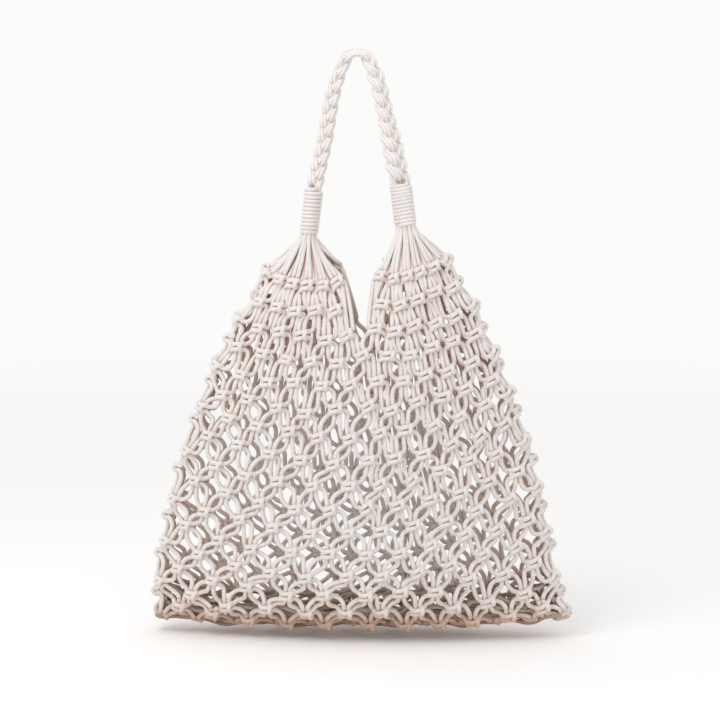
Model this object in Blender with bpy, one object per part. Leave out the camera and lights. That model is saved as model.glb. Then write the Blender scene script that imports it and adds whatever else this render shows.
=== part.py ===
"""Net tote bag, knotted from thick cotton cord and hung by its braided handle.

The body is a tube of open netting that parts into two wings at the top. Each wing is gathered
into one oval bundle, bound with turns of cord, and the two bundles run into the ends of a
three-strand braid. The origin is the place where the braid hangs, under the top of its bend.
+X is to the right of the front, -Y is the front and +Z is up.
"""

import bmesh
import bpy
import numpy as np

# Body of the bag, in metres
BODY_HEIGHT = 0.3558
BASE_WIDTH = 0.381
BODY_DEPTH = 0.104
BODY_LEAN = 0.0075
BODY_SHIFT = -0.0032
MOUTH_BACK_RISE = 0.016
MOUTH_BACK_SHIFT = 0.004
NET_WALL = 0.005
GATHERED_WALL = 0.003
BASE_THICKNESS = 0.005

# Knots and gaps of the net
KNOTS_ROUND = 24
MOUTH_ROW = 4
LAST_ROW = 16
GAP_SHARE = 0.68
MOUTH_GAP_SHARE = 0.52
BASE_GAP_SHARE = 0.56
GAP_ROUNDING = 0.14

# Shares that shape the netting: how the mouth's edge curves off the middle, how the knots crowd
# towards the sides, how full a section is, how far a row tilts, and where the base ends
MOUTH_CURVE = 0.008
SIDE_CROWDING = 0.12
SIDE_CROWDING_POWER = 9
SECTION_FULLNESS = 0.8
ROW_TILT = 0.86
BACK_FADE_ROWS = 8
BASE_END = 0.955

# Bound bundles where the wings are gathered
SHOULDER_SPACING = 0.0872
SHOULDER_SHIFT = -0.0072
WRAP_LENGTH = 0.0405
WRAP_WIDTH = 0.0174
WRAP_DEPTH = 0.0252
WRAP_WALL = 0.0034
WRAP_TURNS = 11
WRAP_RIB = 0.0008
WRAP_LEAN = 0.125
RIGHT_TURN = np.radians(38)
STRAND_SEAT_DEPTH = 0.009
STRAND_LEAD = 0.010
STRAND_RISE = 0.002
SEATED_MIDDLE = 0.86
SEATED_OUTER = 0.50
GATHER_TONGUE = 0.007
RING_CLEARANCE = 0.0009

# Braided handle
HANDLE_RISE = 0.1583
BRAID_WIDTH = 0.0174
BRAID_DEPTH = 0.0166
BRAID_PERIOD = 0.043
STRAND_WIDTH = 0.0062
STRAND_DEPTH = 0.0056
BEND_PINCH = 0.74
BEND_PINCH_LENGTH = 0.022
BRAID_START = 0.10
TWIST_START = 0.42
TWIST_SHARE = 0.2

# Clearance between two pieces that meet
SEAT_GAP = 0.0003

# Facets
FACE_STEP = 0.02
CREASE_ANGLE = np.radians(40)
STRAND_SIDES = 8
STRAND_STEP = 0.0036
WRAP_SIDES = 16
GATHER_SIDES = 16

COTTON = (0.83, 0.80, 0.76)
COTTON_SHADED = (0.76, 0.72, 0.67)

# Cross-sections of the net, one for each named row of knots. Height is a share of BODY_HEIGHT above
# the base, at the middle of the front; rise is how much higher the row is at the sides.
# Width and depth are shares of half of BASE_WIDTH and of BODY_DEPTH.
SECTIONS = np.array(
    [
        (1, 0.856, 0.415, 0.31, 0.048),
        (2, 0.792, 0.493, 0.42, 0.052),
        (3, 0.727, 0.546, 0.52, 0.059),
        (4, 0.665, 0.593, 0.61, 0.065),
        (5, 0.603, 0.642, 0.67, 0.074),
        (7, 0.477, 0.709, 0.77, 0.093),
        (9, 0.357, 0.782, 0.87, 0.098),
        (11, 0.244, 0.848, 0.94, 0.096),
        (13, 0.137, 0.906, 1.00, 0.088),
        (15, 0.044, 0.962, 0.96, 0.060),
        (16, 0.000, 0.990, 0.85, 0.000),
    ],
    dtype=[(name, float) for name in ("row", "height", "width", "depth", "rise")],
)

# Route of the handle between the two wraps: x is a share of half of SHOULDER_SPACING from the
# middle of the shoulders, height is a share of HANDLE_RISE above BODY_HEIGHT.
HANDLE_ROUTE = np.array(
    [
        (-0.825, 0.33),
        (-0.677, 0.51),
        (-0.532, 0.735),
        (-0.429, 0.848),
        (-0.257, 0.957),
        (-0.101, 0.997),
        (0.062, 1.000),
        (0.183, 0.985),
        (0.250, 0.950),
        (0.411, 0.846),
        (0.511, 0.735),
        (0.697, 0.512),
        (0.835, 0.33),
    ],
    dtype=[(name, float) for name in ("x", "height")],
)

HALF_ROUND = KNOTS_ROUND / 2
SIDE = KNOTS_ROUND / 4
FAN_TOP = -0.6
HANG_POINT = np.array([SHOULDER_SHIFT, 0, BODY_HEIGHT + HANDLE_RISE - BRAID_WIDTH * BEND_PINCH / 2])


def at_row(column, row):
    """A column of SECTIONS at any row, on a smooth curve through the table's rows."""
    rows = SECTIONS["row"]
    values = SECTIONS[column]
    slopes = np.gradient(values, rows)
    row = np.clip(row, rows[0], rows[-1])
    index = np.clip(np.searchsorted(rows, row, side="right") - 1, 0, len(rows) - 2)
    step = rows[index + 1] - rows[index]
    t = (row - rows[index]) / step
    start, end = values[index], values[index + 1]
    rise_in, rise_out = slopes[index] * step, slopes[index + 1] * step
    return (
        start * (2 * t**3 - 3 * t**2 + 1)
        + rise_in * (t**3 - 2 * t**2 + t)
        + end * (3 * t**2 - 2 * t**3)
        + rise_out * (t**3 - t**2)
    )


def wrap_frame(side):
    """Mouth centre, axis and the two cross directions of one wrap; side is -1 left, +1 right."""
    mouth = np.array(
        [SHOULDER_SHIFT + side * SHOULDER_SPACING / 2, 0, BODY_HEIGHT + side * BODY_LEAN / 2]
    )
    axis = np.array([-side * WRAP_LEAN, 0, 1])
    axis /= np.linalg.norm(axis)
    turn = RIGHT_TURN if side > 0 else 0
    across = np.cross([0, 1, 0], axis)
    wide = across * np.cos(turn) + np.array([0, 1, 0]) * np.sin(turn)
    deep = np.cross(axis, wide)
    return mouth, axis, wide, deep


def net_mesh_point(u, row):
    """Points on the middle of the netting: u counts knots round the bag, 0 at the middle of the
    front and SIDE at its right side; row counts rows of knots downwards. Above row 1 the points
    run straight from row 1 to an oval ring under the wrap."""
    u = np.asarray(u, float)
    row = np.asarray(row, float)
    back = u > SIDE
    across = np.where(back, HALF_ROUND - u, u)
    side = np.where(across < 0, -1, 1)
    t = np.abs(across) / SIDE
    face = np.where(back, 1, -1)
    at = np.maximum(row, 1)
    open_share = np.clip((at - FAN_TOP) / (MOUTH_ROW - FAN_TOP), 0, 1) / 2
    angle = np.pi * (open_share + (1 - open_share) * t)
    half_width = at_row("width", at) * BASE_WIDTH / 2
    inner = MOUTH_CURVE * BASE_WIDTH / 2 * np.clip(MOUTH_ROW - at, 0, None) ** 2
    spread = (1 + SIDE_CROWDING) * t - SIDE_CROWDING * t**SIDE_CROWDING_POWER
    x = side * (inner + (half_width - inner) * spread)
    bulge = np.clip(np.sin(angle), 0, 1) ** SECTION_FULLNESS
    y = face * at_row("depth", at) * BODY_DEPTH / 2 * bulge
    lean = BODY_LEAN * ROW_TILT * np.clip((LAST_ROW - at) / 3, 0, 1)
    z = at_row("height", at) * BODY_HEIGHT + at_row("rise", at) * BODY_HEIGHT * t**2
    z = z + lean * side * t + BASE_THICKNESS + SEAT_GAP
    mouth_share = np.clip((BACK_FADE_ROWS + 1 - at) / BACK_FADE_ROWS, 0, 1)
    mouth_share = np.where(back, mouth_share * np.cos(np.pi * t / 2), 0)
    z = z + MOUTH_BACK_RISE * mouth_share
    shift = BODY_SHIFT * np.clip((LAST_ROW + 1 - at) / 3, 0, 1) + MOUTH_BACK_SHIFT * mouth_share
    body = np.stack([x + shift, y, z], -1)
    ring = np.zeros_like(body)
    for which in (-1, 1):
        mouth, axis, wide, deep = wrap_frame(which)
        turn = RIGHT_TURN if which > 0 else 0
        around = -np.pi * t * face * which
        around = around + (np.pi if which > 0 else 0) - turn
        half_a = WRAP_WIDTH / 2 - GATHERED_WALL / 2
        half_b = WRAP_DEPTH / 2 - GATHERED_WALL / 2
        oval = half_a * np.cos(around)[..., None] * wide + half_b * np.sin(around)[..., None] * deep
        here = (side == which)[..., None]
        ring = np.where(here, mouth - axis * SEAT_GAP * 2 + oval, ring)
    share = np.clip((1 - row) / (1 - FAN_TOP), 0, 1)[..., None]
    return body * (1 - share) + ring * share


def net_wall_point(u, row, outward, low, high):
    """A point off the middle of the netting by outward, 1 on the outer face and -1 on the inner.
    It belongs to the quarter of the net between the counts low and high."""
    inset = FACE_STEP / 100
    u = np.clip(u, low + inset, high - inset)
    above = np.maximum(row - FACE_STEP, FAN_TOP)
    below = np.minimum(row + FACE_STEP, LAST_ROW)
    along = net_mesh_point(u, below) - net_mesh_point(u, above)
    middle = net_mesh_point(u, row)
    before = net_mesh_point(np.maximum(u - FACE_STEP, low + inset), row)
    after = net_mesh_point(np.minimum(u + FACE_STEP, high - inset), row)
    round_bag = after - before
    normal = np.cross(along, round_bag)
    level = (np.asarray(row) >= LAST_ROW) | (np.asarray(row) <= FAN_TOP)
    normal[..., 2] = np.where(level, 0, normal[..., 2])
    normal /= np.linalg.norm(normal, axis=-1, keepdims=True)
    gathered = np.clip((1 - np.asarray(row)) / (1 - FAN_TOP), 0, 1)
    wall = NET_WALL * (1 - gathered) + GATHERED_WALL * gathered
    return middle + normal * (outward * wall / 2)[..., None]


def round_gap(outline, centre, share):
    """The hole of one mesh of the net: its outline drawn in to the centre, with blunt corners."""
    outline = np.array(outline, float)
    centre = np.array(centre, float)
    reach = np.full(len(outline), share * (1 - GAP_ROUNDING / 2))
    reach[1::2] = share * (1 + GAP_ROUNDING)
    return outline, centre + (outline - centre) * reach[:, None]


def diamond(u, row):
    """Outline of a whole mesh of the net, from its top corner."""
    return [
        (u, row - 2), (u + 0.5, row - 1), (u + 1, row), (u + 0.5, row + 1),
        (u, row + 2), (u - 0.5, row + 1), (u - 1, row), (u - 0.5, row - 1),
    ]


def net_cells(low, high, inner_edge):
    """(outline, gap) pairs of the net between two counts of knots, clipped by the caller."""
    cells = []
    for row in range(2, LAST_ROW, 2):
        first = int(low) - 1
        for u in range(first, int(high) + 2):
            meets = (u + row // 2) % 2 == 1
            if meets and not (row == 2 and u == inner_edge):
                cells.append(round_gap(diamond(u, row), (u, row), GAP_SHARE))
    for u in range(int(low), int(high) + 1):
        if u % 2 == 0:
            continue
        fan = [
            (u, 2), (u - 0.5, 1), (u - 1, 0), (u - 1, FAN_TOP),
            (u, FAN_TOP), (u + 1, FAN_TOP), (u + 1, 0), (u + 0.5, 1),
        ]
        cells.append(round_gap(fan, (u, 0.45), GAP_SHARE))
        foot = [
            (u, LAST_ROW - 2), (u + 0.5, LAST_ROW - 1), (u + 1, LAST_ROW), (u + 0.5, LAST_ROW),
            (u, LAST_ROW), (u - 0.5, LAST_ROW), (u - 1, LAST_ROW), (u - 0.5, LAST_ROW - 1),
        ]
        cells.append(round_gap(foot, (u, LAST_ROW - 0.75), GAP_SHARE * 0.9))
    inside = 1 if inner_edge == low else -1
    edge = [
        (inner_edge, 0), (inner_edge + inside * 0.5, 1), (inner_edge + inside, 2),
        (inner_edge + inside * 0.5, 3), (inner_edge, 4), (inner_edge, 3), (inner_edge, 2),
        (inner_edge, 1),
    ]
    centre = (inner_edge + inside * 0.4, 2)
    cells.append(round_gap(edge, centre, MOUTH_GAP_SHARE))
    return cells


def wall_mesh(cells, to_point, low=-np.inf, high=np.inf):
    """One closed wall from cells: a band of faces between each outline and its gap, or one face
    where the gap is None, outside and inside alike and joined along every open edge. Bands that
    reach past low or high are left out. to_point gives (u, row, outward) a place."""
    places = {}
    bands = []

    def number(point):
        key = (round(float(point[0]), 4), round(float(point[1]), 4))
        return places.setdefault(key, len(places))

    for outline, gap in cells:
        if gap is None:
            bands.append([number(corner) for corner in outline])
            continue
        for k in range(len(outline)):
            after = (k + 1) % len(outline)
            corners = [outline[k], outline[after], gap[after], gap[k]]
            if all(low - 1e-6 <= corner[0] <= high + 1e-6 for corner in corners):
                bands.append([number(corner) for corner in corners])
    flat = np.array(list(places), float)
    outer = to_point(flat[:, 0], flat[:, 1], np.ones(len(flat)))
    inner = to_point(flat[:, 0], flat[:, 1], -np.ones(len(flat)))
    count = len(flat)
    edges = {edge: None for band in bands for edge in zip(band, band[1:] + band[:1])}
    faces = [list(band) for band in bands]
    faces += [[corner + count for corner in reversed(band)] for band in bands]
    faces += [
        [end, start, start + count, end + count]
        for start, end in edges
        if (end, start) not in edges
    ]
    return np.concatenate([outer, inner]), faces


def consistent_bands(cells):
    """Every outline turned the same way round, so that neighbouring bands share their edges."""
    turned = []
    for outline, gap in cells:
        x, y = outline[:, 0], outline[:, 1]
        area = np.sum(x * np.roll(y, -1) - np.roll(x, -1) * y)
        turned.append((outline, gap) if area > 0 else (outline[::-1], gap[::-1]))
    return turned


def tube_mesh(rings):
    """Closed tube through rings of points, with a flat cap at each end."""
    count, sides = rings.shape[:2]
    faces = []
    for ring in range(count - 1):
        for k in range(sides):
            after = (k + 1) % sides
            low, high = ring * sides, (ring + 1) * sides
            faces.append([low + k, low + after, high + after, high + k])
    faces.append(list(range(sides))[::-1])
    faces.append([(count - 1) * sides + k for k in range(sides)])
    return rings.reshape(-1, 3), faces


def sleeve_mesh(outer, inner):
    """Closed sleeve between outer rings and inner rings, both listed from bottom to top."""
    sides = outer.shape[1]
    loop = np.concatenate([outer, inner[::-1]])
    count = len(loop)
    faces = []
    for ring in range(count):
        for k in range(sides):
            after = (k + 1) % sides
            low, high = ring * sides, ((ring + 1) % count) * sides
            faces.append([low + k, low + after, high + after, high + k])
    return loop.reshape(-1, 3), faces


def smooth_path(points, step):
    """Points about a step apart on a smooth curve through the given ones, its ends kept."""
    padded = np.vstack([2 * points[0] - points[1], points, 2 * points[-1] - points[-2]])
    t = np.linspace(0, 1, 40, endpoint=False)[:, None]
    pieces = []
    for a, b, c, d in zip(padded, padded[1:], padded[2:], padded[3:]):
        pieces.append(
            0.5 * (2 * b + (c - a) * t + (2 * a - 5 * b + 4 * c - d) * t**2
                   + (3 * b - a - 3 * c + d) * t**3)
        )
    dense = np.vstack(pieces + [points[-1:]])
    length = np.concatenate([[0], np.cumsum(np.linalg.norm(np.diff(dense, axis=0), axis=1))])
    count = int(np.ceil(length[-1] / step)) + 1
    along = np.linspace(0, length[-1], count)
    return np.stack([np.interp(along, length, dense[:, k]) for k in range(3)], 1), along


def handle_line():
    """Middle line of the braid from inside the left wrap to inside the right one."""
    route = []
    for side in (-1, 1):
        mouth, axis, _, _ = wrap_frame(side)
        foot = mouth + axis * (WRAP_LENGTH - STRAND_SEAT_DEPTH)
        top = mouth + axis * (WRAP_LENGTH + STRAND_RISE)
        route.append([foot, top] if side < 0 else [top, foot])
    middle = np.zeros((len(HANDLE_ROUTE), 3))
    middle[:, 0] = SHOULDER_SHIFT + HANDLE_ROUTE["x"] * SHOULDER_SPACING / 2
    middle[:, 2] = BODY_HEIGHT + HANDLE_ROUTE["height"] * HANDLE_RISE
    return smooth_path(np.vstack([route[0], middle, route[1]]), STRAND_STEP)


def ease(value):
    """0 to 1 with level ends."""
    value = np.clip(value, 0, 1)
    return value * value * (3 - 2 * value)


def strand_rings(which):
    """Rings of one strand of the braid. Its middle swings across the braid as a sine and through
    its depth as a sine of twice the rate, one third of a period behind the strand before it. The
    braid is worked from the bend down both legs, so each leg counts its own crossings from the
    bend. At both ends the strands stand one behind the other, drawn in to pass into the wraps."""
    line, along = handle_line()
    total = along[-1]
    straight = STRAND_SEAT_DEPTH + STRAND_LEAD
    top = np.argmax(line[:, 2])
    leg = np.where(along < along[top], along[top], total - along[top]) - straight
    down_leg = np.clip(np.abs(along - along[top]) / leg, 0, 1)
    level = np.hypot(down_leg, BRAID_START) - BRAID_START
    level = level / (np.hypot(1, BRAID_START) - BRAID_START)
    crossings = np.round(leg / (BRAID_PERIOD / 6))
    phase = np.pi / 3 * crossings * level + 2 * np.pi * which / 3
    tangent = np.gradient(line, along, axis=0)
    tangent /= np.linalg.norm(tangent, axis=1, keepdims=True)
    turn = RIGHT_TURN * ease((along / total - TWIST_START) / TWIST_SHARE)
    toward_back = np.array([0.0, 1.0, 0.0])
    across = np.cross(toward_back, tangent)
    wide = across * np.cos(turn)[:, None] - toward_back * np.sin(turn)[:, None]
    deep = np.cross(tangent, wide)
    gathered = 1 - ease((np.minimum(along, total - along) - STRAND_SEAT_DEPTH) / STRAND_LEAD)
    pinch = 1 - (1 - BEND_PINCH) * np.exp(-(((along - along[top]) / BEND_PINCH_LENGTH) ** 2))
    swing = (BRAID_WIDTH - STRAND_WIDTH) / 2 * pinch * (1 - gathered)
    column = (WRAP_DEPTH / 2 - WRAP_WALL) * np.cos(np.pi / WRAP_SIDES) - SEAT_GAP
    seated_depth = (2 * column - 3 * SEAT_GAP) / 3
    seated_swing = (seated_depth + 1.5 * SEAT_GAP) / np.sin(np.pi * 2 / 3)
    seated_share = np.where(np.abs(np.sin(2 * phase)) < 0.5, SEATED_MIDDLE, SEATED_OUTER)
    seated_width = (WRAP_WIDTH / 2 - WRAP_WALL) * seated_share
    dive = (BRAID_DEPTH - STRAND_DEPTH) / 2 * (1 - gathered) + seated_swing * gathered
    half_width = STRAND_WIDTH / 2 * pinch * (1 - gathered)
    half_width = half_width + seated_width * gathered
    half_depth = STRAND_DEPTH / 2 * (1 - gathered) + seated_depth / 2 * gathered
    centre = line + wide * (swing * np.sin(phase))[:, None]
    centre = centre + deep * (dive * np.sin(2 * phase))[:, None]
    around = 2 * np.pi * (np.arange(STRAND_SIDES) + 0.5) / STRAND_SIDES
    return (
        centre[:, None]
        + wide[:, None] * (half_width[:, None] * np.cos(around))[..., None]
        + deep[:, None] * (half_depth[:, None] * np.sin(around))[..., None]
    )


def oval_rings(side, heights, half_widths, half_depths, sides):
    """Level oval rings round the axis of one wrap, at heights above its mouth."""
    mouth, axis, wide, deep = wrap_frame(side)
    around = 2 * np.pi * np.arange(sides) / sides
    heights, half_widths, half_depths = (
        np.broadcast_to(np.asarray(value, float), np.shape(heights))[:, None]
        for value in (heights, half_widths, half_depths)
    )
    return (
        mouth
        + axis * heights[..., None]
        + wide * (half_widths * np.cos(around))[..., None]
        + deep * (half_depths * np.sin(around))[..., None]
    )


def wrap_mesh(side):
    """Turns of cord side by side round the gathered cords: a sleeve with one rib for each turn."""
    steps = np.arange(2 * WRAP_TURNS + 1)
    heights = WRAP_LENGTH * steps / (2 * WRAP_TURNS)
    rib = np.where(steps % 2 == 1, 0, WRAP_RIB)
    outer = oval_rings(
        side, heights, WRAP_WIDTH / 2 - rib, WRAP_DEPTH / 2 - rib, WRAP_SIDES
    )
    inner = oval_rings(
        side, heights[[0, -1]], WRAP_WIDTH / 2 - WRAP_WALL, WRAP_DEPTH / 2 - WRAP_WALL, WRAP_SIDES
    )
    return sleeve_mesh(outer, inner)


def gathered_mesh(side):
    """The cords of one wing drawn together: they fill the wrap up to the foot of the braid, and a
    tongue of them reaches down inside the ring of the net."""
    in_wrap = WRAP_WALL + SEAT_GAP
    in_ring = GATHERED_WALL + RING_CLEARANCE
    heights = np.array(
        [
            -GATHER_TONGUE,
            -GATHER_TONGUE * 0.7,
            -GATHER_TONGUE * 0.3,
            SEAT_GAP,
            WRAP_LENGTH - STRAND_SEAT_DEPTH - SEAT_GAP,
        ]
    )
    drawn_in = np.array(
        [in_ring * 1.5, in_ring + 2 * SEAT_GAP, in_ring + SEAT_GAP, in_wrap, in_wrap]
    )
    return tube_mesh(
        oval_rings(side, heights, WRAP_WIDTH / 2 - drawn_in, WRAP_DEPTH / 2 - drawn_in, GATHER_SIDES)
    )


def net_panel_mesh(low, high):
    """A quarter of the netting, from the ring under one wrap down to the base."""
    inner_edge = low if low % HALF_ROUND == 0 else high
    cells = consistent_bands(net_cells(low, high, inner_edge))

    def to_point(u, row, outward):
        point = net_wall_point(u, row, outward, low, high)
        middle = (low + high) / 2
        at_inner = np.abs(u - inner_edge) < 1e-6
        at_side = np.abs(u - (low + high - inner_edge)) < 1e-6
        right = 1 if 0 < middle < HALF_ROUND else -1
        point[:, 0] += np.where(at_inner, right * SEAT_GAP / 2, 0)
        behind = 1 if middle > SIDE else -1
        point[:, 1] = np.where(at_side, behind * SEAT_GAP / 2, point[:, 1])
        return point

    return wall_mesh(cells, to_point, low, high)


def base_mesh():
    """The closed bottom of the net: a flat lens-shaped sheet with a seam along its middle and gaps
    on both sides of it, as wide and deep as the foot of the netting."""
    last_knot = int(SIDE) - 1
    inner_edges = np.arange(-last_knot, last_knot + 1, 2)
    edges = [-SIDE * BASE_END, *inner_edges, SIDE * BASE_END]
    cells = []
    for low, high in zip(edges, edges[1:]):
        middle = (low + high) / 2
        for near, far in ((-1, 0), (0, 1)):
            half = (near + far) / 2
            outline = [
                (low, near), (middle, near), (high, near), (high, half),
                (high, far), (middle, far), (low, far), (low, half),
            ]
            pierced = abs(middle) < last_knot
            gap = round_gap(outline, (middle, half), BASE_GAP_SHARE)[1] if pierced else None
            cells.append((outline, gap))

    def to_point(u, across, outward):
        last = np.full_like(u, LAST_ROW)
        foot = net_wall_point(u, last, np.ones_like(u), -SIDE, SIDE)
        z = np.where(outward > 0, 0, BASE_THICKNESS)
        return np.stack([foot[:, 0], np.abs(foot[:, 1]) * across, z], -1)

    return wall_mesh(cells, to_point)


def make_material(name, colour, roughness):
    material = bpy.data.materials.new(name)
    material.use_nodes = True
    shader = material.node_tree.nodes["Principled BSDF"]
    shader.inputs["Base Color"].default_value = (*colour, 1)
    shader.inputs["Roughness"].default_value = roughness
    shader.inputs["Metallic"].default_value = 0
    return material


def add_piece(name, mesh_data, material):
    """One closed piece from points above the base and faces, moved so that it hangs at the origin."""
    points, faces = mesh_data
    mesh = bpy.data.meshes.new(name)
    mesh.from_pydata((points - HANG_POINT).tolist(), [], [list(face) for face in faces])
    body = bmesh.new()
    body.from_mesh(mesh)
    bmesh.ops.recalc_face_normals(body, faces=body.faces)
    body.to_mesh(mesh)
    body.free()
    mesh.shade_smooth()
    mesh.set_sharp_from_angle(angle=CREASE_ANGLE)
    mesh.materials.append(material)
    piece = bpy.data.objects.new(name, mesh)
    bpy.context.scene.collection.objects.link(piece)
    return piece


for leftover in list(bpy.data.objects):
    bpy.data.objects.remove(leftover, do_unlink=True)

net_cotton = make_material("knotted_cotton", COTTON, 0.9)
wrap_cotton = make_material("wrapped_cotton", COTTON, 0.85)
braid_cotton = make_material("braided_cotton", COTTON, 0.88)
inner_cotton = make_material("gathered_cotton", COTTON_SHADED, 0.92)

add_piece("net_front_left", net_panel_mesh(-SIDE, 0), net_cotton)
add_piece("net_front_right", net_panel_mesh(0, SIDE), net_cotton)
add_piece("net_back_right", net_panel_mesh(SIDE, HALF_ROUND), net_cotton)
add_piece("net_back_left", net_panel_mesh(HALF_ROUND, HALF_ROUND + SIDE), net_cotton)
add_piece("net_base", base_mesh(), net_cotton)

for side, word in ((-1, "left"), (1, "right")):
    add_piece(f"gathered_cords_{word}", gathered_mesh(side), inner_cotton)
    add_piece(f"wrap_{word}", wrap_mesh(side), wrap_cotton)

for strand in range(3):
    add_piece(f"handle_strand_{strand + 1}", tube_mesh(strand_rings(strand)), braid_cotton)
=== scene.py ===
import bpy
import numpy as np
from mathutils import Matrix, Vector


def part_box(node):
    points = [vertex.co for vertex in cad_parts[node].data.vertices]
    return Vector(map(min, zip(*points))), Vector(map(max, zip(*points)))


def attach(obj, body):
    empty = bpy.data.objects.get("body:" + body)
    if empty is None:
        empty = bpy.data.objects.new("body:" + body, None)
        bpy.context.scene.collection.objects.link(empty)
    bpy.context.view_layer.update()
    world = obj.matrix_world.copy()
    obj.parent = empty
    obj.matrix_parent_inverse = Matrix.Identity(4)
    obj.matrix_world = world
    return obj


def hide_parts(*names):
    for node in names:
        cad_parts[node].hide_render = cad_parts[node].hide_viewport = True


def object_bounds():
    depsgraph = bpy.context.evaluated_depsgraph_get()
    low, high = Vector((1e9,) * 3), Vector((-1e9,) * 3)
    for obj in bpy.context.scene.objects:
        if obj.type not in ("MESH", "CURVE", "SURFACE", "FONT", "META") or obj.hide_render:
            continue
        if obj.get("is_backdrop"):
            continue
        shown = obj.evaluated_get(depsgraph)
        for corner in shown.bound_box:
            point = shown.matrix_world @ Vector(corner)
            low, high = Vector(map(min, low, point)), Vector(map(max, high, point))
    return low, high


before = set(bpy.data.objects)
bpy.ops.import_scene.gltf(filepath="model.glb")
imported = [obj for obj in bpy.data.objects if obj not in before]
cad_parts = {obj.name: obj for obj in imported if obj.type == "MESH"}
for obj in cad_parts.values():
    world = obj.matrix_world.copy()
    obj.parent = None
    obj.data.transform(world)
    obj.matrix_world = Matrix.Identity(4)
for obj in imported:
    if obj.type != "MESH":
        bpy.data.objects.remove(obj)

cad_low, cad_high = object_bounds()

# Netting. The bag is a tube of alternating square knots, tied by hand from 96 lengths of white
# plaited cotton cord. At the top it parts into a left and a right wing, and at the foot each
# cord of the front runs on under the keel into the back.
cord = 0.0042
knots_round = 24
side_knot = knots_round / 4
mouth_row = 4
last_row = 17
net_foot = cad_low.z + 0.004
net_height = 0.3538
left_sag = 0.0125
foot_shift = 0.0050
half_base = 0.1890
half_depth = 0.052
mouth_back_rise = 0.016
mouth_back_shift = 0.001
mouth_back_gap = 0.032
mouth_front_lift = 0.0058
slit_middle = 0.3
slit_reach = 0.75
fan_top = -0.6
ear_share = 11 / 12
ear_push = 0.05
ear_pull = 0.75
slowing = 0.045
drift_fade = 1.25
curl_power = 1.75
foot_curl = 0.7

# Where the rows of knots lie. Height is a share of the net's height at the middle of the front,
# rise how much higher the row is at the sides, tilt how much higher its right end is than its
# left one. Width and depth are shares of the half base and of the half depth; gap is the row's
# distance from the slit of the mouth, drift how far its middle has been pulled to the right, and
# fullness how square the section is.
rows = np.array(
    [
        (1, 0.864, 0.048, 0.015, 0.420, 0.31, 0.070, 0.016, 0.80),
        (2, 0.799, 0.051, 0.016, 0.490, 0.42, 0.024, 0.024, 0.80),
        (3, 0.735, 0.060, 0.016, 0.556, 0.52, 0.012, 0.036, 0.80),
        (4, 0.674, 0.064, 0.017, 0.608, 0.61, 0.000, 0.050, 0.80),
        (5, 0.612, 0.072, 0.017, 0.653, 0.67, 0.000, 0.058, 0.80),
        (7, 0.487, 0.092, 0.018, 0.724, 0.77, 0.000, 0.064, 0.80),
        (9, 0.365, 0.098, 0.016, 0.801, 0.87, 0.000, 0.062, 0.80),
        (11, 0.249, 0.094, 0.016, 0.860, 0.95, 0.000, 0.064, 0.80),
        (13, 0.142, 0.088, 0.015, 0.902, 1.00, 0.000, 0.064, 0.80),
        (14, 0.091, 0.086, 0.013, 0.926, 0.96, 0.000, 0.060, 0.78),
        (15, 0.044, 0.082, 0.009, 0.942, 0.79, 0.000, 0.050, 0.70),
        (16, 0.006, 0.064, 0.005, 0.955, 0.49, 0.000, 0.044, 0.50),
        (17, 0.000, 0.020, 0.008, 0.965, 0.15, 0.000, 0.040, 0.28),
    ],
    dtype=[
        (name, float)
        for name in ("row", "height", "rise", "tilt", "width", "depth", "gap", "drift", "fullness")
    ],
)
chance = np.random.default_rng(11)


def at_row(column, row):
    """A column of the table at any row: a cubic through the two nearest rows, whose slope at each
    is that of the chord between its neighbours."""
    place = rows["row"]
    value = rows[column]
    slope = np.gradient(value, place)
    row = np.clip(row, place[0], place[-1])
    k = np.clip(np.searchsorted(place, row, side="right") - 1, 0, len(place) - 2)
    step = place[k + 1] - place[k]
    t = (row - place[k]) / step
    return (
        value[k] * (2 * t**3 - 3 * t**2 + 1)
        + slope[k] * step * (t**3 - 2 * t**2 + t)
        + value[k + 1] * (3 * t**2 - 2 * t**3)
        + slope[k + 1] * step * (t**3 - t**2)
    )


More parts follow.
